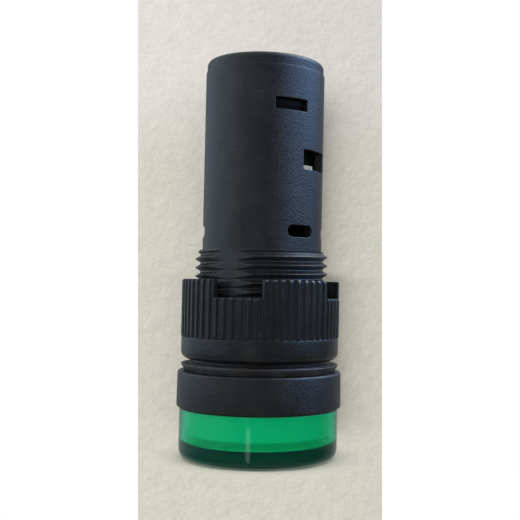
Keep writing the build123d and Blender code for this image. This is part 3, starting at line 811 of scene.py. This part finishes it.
def soft_lamp(name, azimuth, elevation, distance, size, watts, colour):
    """Rectangular lamp aimed at the middle of the light; azimuth counts as phi does."""
    data = bpy.data.lights.new(name, "AREA")
    data.shape, data.size, data.size_y = "RECTANGLE", size[0] * MM, size[1] * MM
    data.energy, data.color = watts, colour
    lamp = bpy.data.objects.new(name, data)
    lamp.visible_glossy = False
    lamp.visible_transmission = False
    bpy.context.scene.collection.objects.link(lamp)
    a, e = radians(azimuth), radians(elevation)
    back = np.array([np.sin(a) * np.cos(e), -np.cos(a) * np.cos(e), np.sin(e)])
    side = np.array([np.cos(a), np.sin(a), 0.0])
    middle = np.array([0, 0, 32 * MM])
    lamp.matrix_world = placed(side, np.cross(back, side), back, middle + back * distance * MM)


def photo_camera():
    """Camera at the photograph's viewing angle."""
    data = bpy.data.cameras.new("photo_camera")
    data.sensor_width, data.lens, data.shift_x = SENSOR, FOCAL_LENGTH, SHIFT
    data.clip_start, data.clip_end = 0.005, 20.0
    camera = bpy.data.objects.new("photo_camera", data)
    bpy.context.scene.collection.objects.link(camera)
    camera.matrix_world = placed(CAMERA_RIGHT, CAMERA_UP, CAMERA_BACK, CAMERA_SPOT)
    bpy.context.scene.camera = camera


barrel_black = moulded_black("barrel_black", (0.0066, 0.0070, 0.0078), 0.40, 0.012, 0.1)
nut_black = moulded_black("nut_black", (0.0056, 0.0060, 0.0068), 0.33, 0.010)
bezel_black = moulded_black("bezel_black", (0.0056, 0.0058, 0.0064), 0.42, 0.014)
# the terminal base gets painted shade below the barrel's rear end
base_black = moulded_black("base_black", (0.0066, 0.0070, 0.0078), 0.40, 0.012, inner_end=BARREL_END)
gasket_rubber = rubber()
finishes = {
    "black_rubber": gasket_rubber,
    "ivory_plastic": cast_plastic("carrier_ivory", (0.185, 0.175, 0.155), 0.6, 0.06),
    "circuit_board": solder_mask(),
    "led_epoxy": cast_plastic("led_milky", (0.78, 0.86, 0.8), 0.2, 0.05),
    "black_epoxy": cast_plastic("bridge_black", (0.02, 0.02, 0.021), 0.5, 0.2),
    "capacitor_sleeve": cast_plastic("sleeve_blue", (0.02, 0.035, 0.09), 0.3, 0.15),
    "resistor_body": cast_plastic("resistor_blue", (0.3, 0.5, 0.56), 0.35, 0.1),
    "tinned_wire": plated_metal("pin_tin", (0.7, 0.7, 0.68), 0.35),
    "terminal_brass": plated_metal("plate_brass", (0.78, 0.68, 0.44), 0.32),
    "black_plastic": base_black,
    "zinc_steel": plated_metal("screw_zinc", (0.66, 0.67, 0.68), 0.3),
}
shown_as_cad = {
    "lens_seal": "black_rubber", "led_board": "circuit_board", "driver_board": "circuit_board",
    "smoothing_capacitor": "capacitor_sleeve", "bridge_rectifier": "black_epoxy",
    "board_carrier": "ivory_plastic", "terminal_base": "black_plastic",
    **{f"led_{i}": "led_epoxy" for i in range(1, 7)},
    **{f"link_pin_{i}": "tinned_wire" for i in (1, 2)},
    **{f"resistor_{i}": "resistor_body" for i in (1, 2)},
    **{f"terminal_plate_{i}": "terminal_brass" for i in (1, 2)},
    **{f"clamp_washer_{i}": "zinc_steel" for i in (1, 2)},
    **{f"terminal_screw_{i}": "zinc_steel" for i in (1, 2)},
}
for node_name, slot_name in shown_as_cad.items():
    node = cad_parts[node_name]
    node.data.materials.clear()
    node.data.materials.append(finishes[slot_name])

make_piece("bezel", [bezel()], "housing", ["housing"], bezel_black)
make_piece("threaded_neck", [threaded_neck()], "housing", ["housing"], barrel_black)
make_piece("barrel", pierced_tube(), "housing", ["housing"], barrel_black)
make_piece("fluted_nut", [ring_nut()], "ring_nut", ["ring_nut"], nut_black, 42.0)
make_piece("panel_gasket", [gasket()], "housing", ["gasket"], gasket_rubber)
make_piece("lens", [lens_cap()], "housing", ["lens_cap"], tinted_lens())
make_piece("opal_cup", [diffuser()], "housing", ["diffuser"], opal_plastic())

studio_world()
floor()
soft_lamp("window", 50, 8, 420, (200, 260), 1.6, (0.9, 0.96, 1.0))
soft_lamp("left_wall", -78, 0, 420, (300, 260), 3.8, (0.9, 0.98, 0.98))
soft_lamp("ceiling", -20, 74, 480, (420, 420), 0.6, (1.0, 0.99, 0.96))
reflector("streak_low", -13.8, 5.5, -160, -31.5, 1.5)
reflector("streak_high", -16.0, 5.0, -16, 160, 1.6)
white_card("margin_left", -8, 138)
white_card("margin_right", 382, 528)
photo_camera()
bpy.context.scene.view_settings.view_transform = "Standard"
